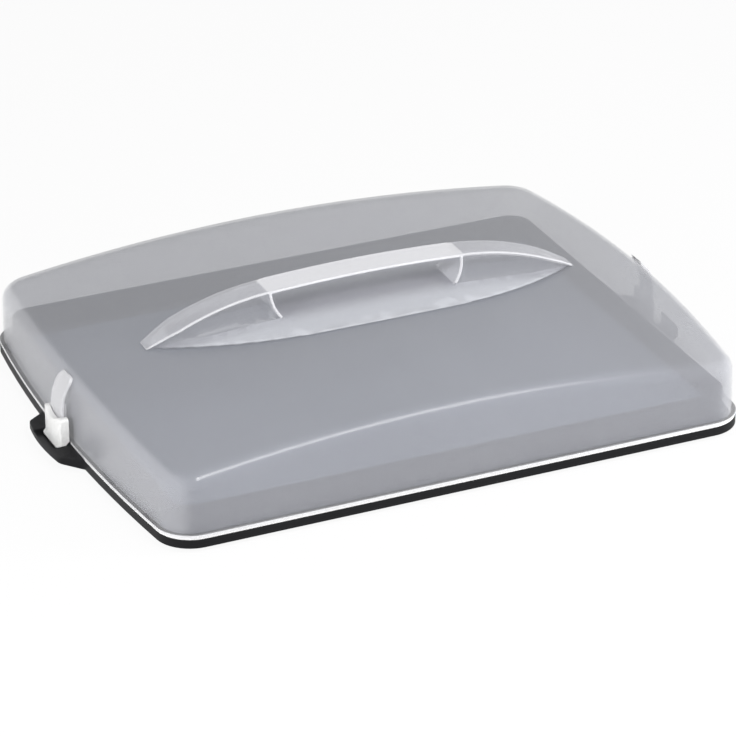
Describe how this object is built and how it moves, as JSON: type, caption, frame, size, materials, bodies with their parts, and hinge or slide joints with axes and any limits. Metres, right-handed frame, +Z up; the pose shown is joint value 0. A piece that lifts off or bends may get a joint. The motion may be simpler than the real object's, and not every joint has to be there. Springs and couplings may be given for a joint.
{
  "type": "wet palette",
  "caption": "Shallow black tray with sponge and palette sheet under a domed frosted lid with an arched carrying handle; swing clips at both ends hold the lid down to keep paint moist.",
  "frame": {"origin": "centre of the tray's foot, on the surface that it stands on", "axes": "+X along the length from the left clip to the right clip, +Y from the front to the back, +Z up"},
  "size_m": [0.484, 0.352, 0.0978],
  "materials": {
    "tray_black": "fine moulded grain, black polypropylene",
    "seal_white": "soft white elastomer",
    "lid_frosted": "frosted translucent polypropylene, satin",
    "handle_frosted": "frosted translucent polypropylene, satin, thicker than the lid",
    "keeper_frosted": "frosted translucent polypropylene, satin",
    "clip_white": "white polypropylene, half gloss",
    "pin_steel": "ground steel rod",
    "sponge_grey": "dark open-pored foam",
    "paper_grey": "damp grey palette paper, matt"
  },
  "bodies": {
    "base": {"base_tray": "tray_black", "lid_seal": "seal_white", "latch_right_pin": "pin_steel", "latch_left_pin": "pin_steel", "sponge": "sponge_grey", "palette_paper": "paper_grey"},
    "lid": {"lid_shell": "lid_frosted", "carry_handle": "handle_frosted", "latch_right_keeper": "keeper_frosted", "latch_left_keeper": "keeper_frosted"},
    "latch_left": {"latch_left_clip": "clip_white"},
    "latch_right": {"latch_right_clip": "clip_white"}
  },
  "joints": [
    {"name": "lid_lift", "type": "slide", "parent": "base", "child": "lid", "axis": [0, 0, 1], "range_m": [0, 0.1]},
    {"name": "latch_left_swing", "type": "hinge", "parent": "base", "child": "latch_left", "pos_m": [-0.231, 0, 0.0088], "axis": [0, -1, 0], "range_deg": [0, 60]},
    {"name": "latch_right_swing", "type": "hinge", "parent": "base", "child": "latch_right", "pos_m": [0.231, 0, 0.0088], "axis": [0, 1, 0], "range_deg": [0, 60]}
  ]
}
